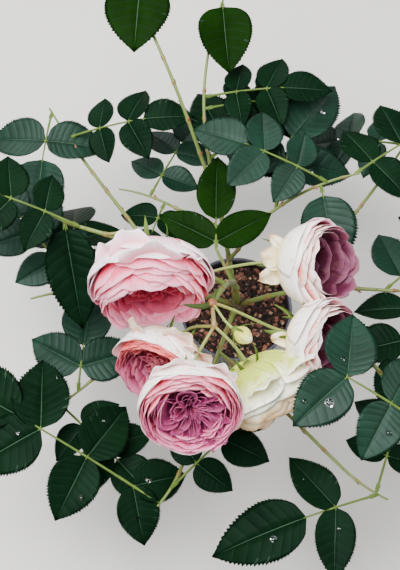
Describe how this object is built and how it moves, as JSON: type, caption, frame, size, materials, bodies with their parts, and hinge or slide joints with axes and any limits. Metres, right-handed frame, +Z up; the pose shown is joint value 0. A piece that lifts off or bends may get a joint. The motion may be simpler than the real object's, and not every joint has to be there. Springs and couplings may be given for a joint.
{
  "type": "potted rose bush",
  "caption": "Rose bush in a filled black nursery pot: a short woody base, lax leafy canes all round, and a nodding cluster of full cupped pink, mauve and cream blooms with a bud.",
  "frame": {"origin": "middle of the pot's flat underside, on the surface that the pot stands on", "axes": "+Z up along the pot's axis; the flower cluster leans towards -Y, the side the picture is taken from, and +X is to the right in that view"},
  "size_m": [0.464, 0.5089, 0.3075],
  "materials": {
    "pot_plastic": "satin black, with a worn grey-lilac sheen at the rim",
    "clay_grit": "matt baked-clay granules, near black to salmon and tan",
    "woody_base": "matt, ridged young bark",
    "green_cane": "smooth satin green, flushed red at the nodes",
    "foliage": "glossy dark blue-green leaves with pale veins",
    "blush_petals": "soft satin petals, blush outside and coral in the folds",
    "mauve_petals": "soft satin petals, pale outside and mauve pink in the cup",
    "cream_petals": "soft satin cream petals, green towards the calyx",
    "bud_scales": "satin pale yellow-green"
  },
  "bodies": {
    "root": {"pot": "pot_plastic", "soil": "clay_grit", "stem_base": "woody_base", "flower_cane": "green_cane", "side_branch": "green_cane", "cane_left": "green_cane", "bough_front_left": "green_cane", "bough_back_left": "green_cane", "cane_back": "green_cane", "bough_back_centre": "green_cane", "bough_back_high": "green_cane", "bough_back_right": "green_cane", "cane_right": "green_cane", "bough_front_right": "green_cane", "bough_right_back": "green_cane", "cane_front": "green_cane", "bough_front_side": "green_cane", "lower_stalk": "green_cane", "stalk_1": "green_cane", "stalk_2": "green_cane", "stalk_3": "green_cane", "stalk_4": "green_cane", "stalk_5": "green_cane", "stalk_6": "green_cane", "bud_stalk": "green_cane", "bloom_1": "blush_petals", "bloom_2": "mauve_petals", "bloom_3": "mauve_petals", "bloom_4": "blush_petals", "bloom_5": "mauve_petals", "bloom_6": "cream_petals", "bud": "bud_scales", "leafy_branch": "foliage", "leafy_left": "foliage", "leafy_front_left": "foliage", "leafy_back_left": "foliage", "leafy_back": "foliage", "leafy_back_centre": "foliage", "leafy_back_high": "foliage", "leafy_back_right": "foliage", "leafy_right": "foliage", "leafy_front_right": "foliage", "leafy_right_back": "foliage", "leafy_front": "foliage", "leafy_front_side": "foliage", "leafy_centre": "foliage"}
  },
  "joints": []
}
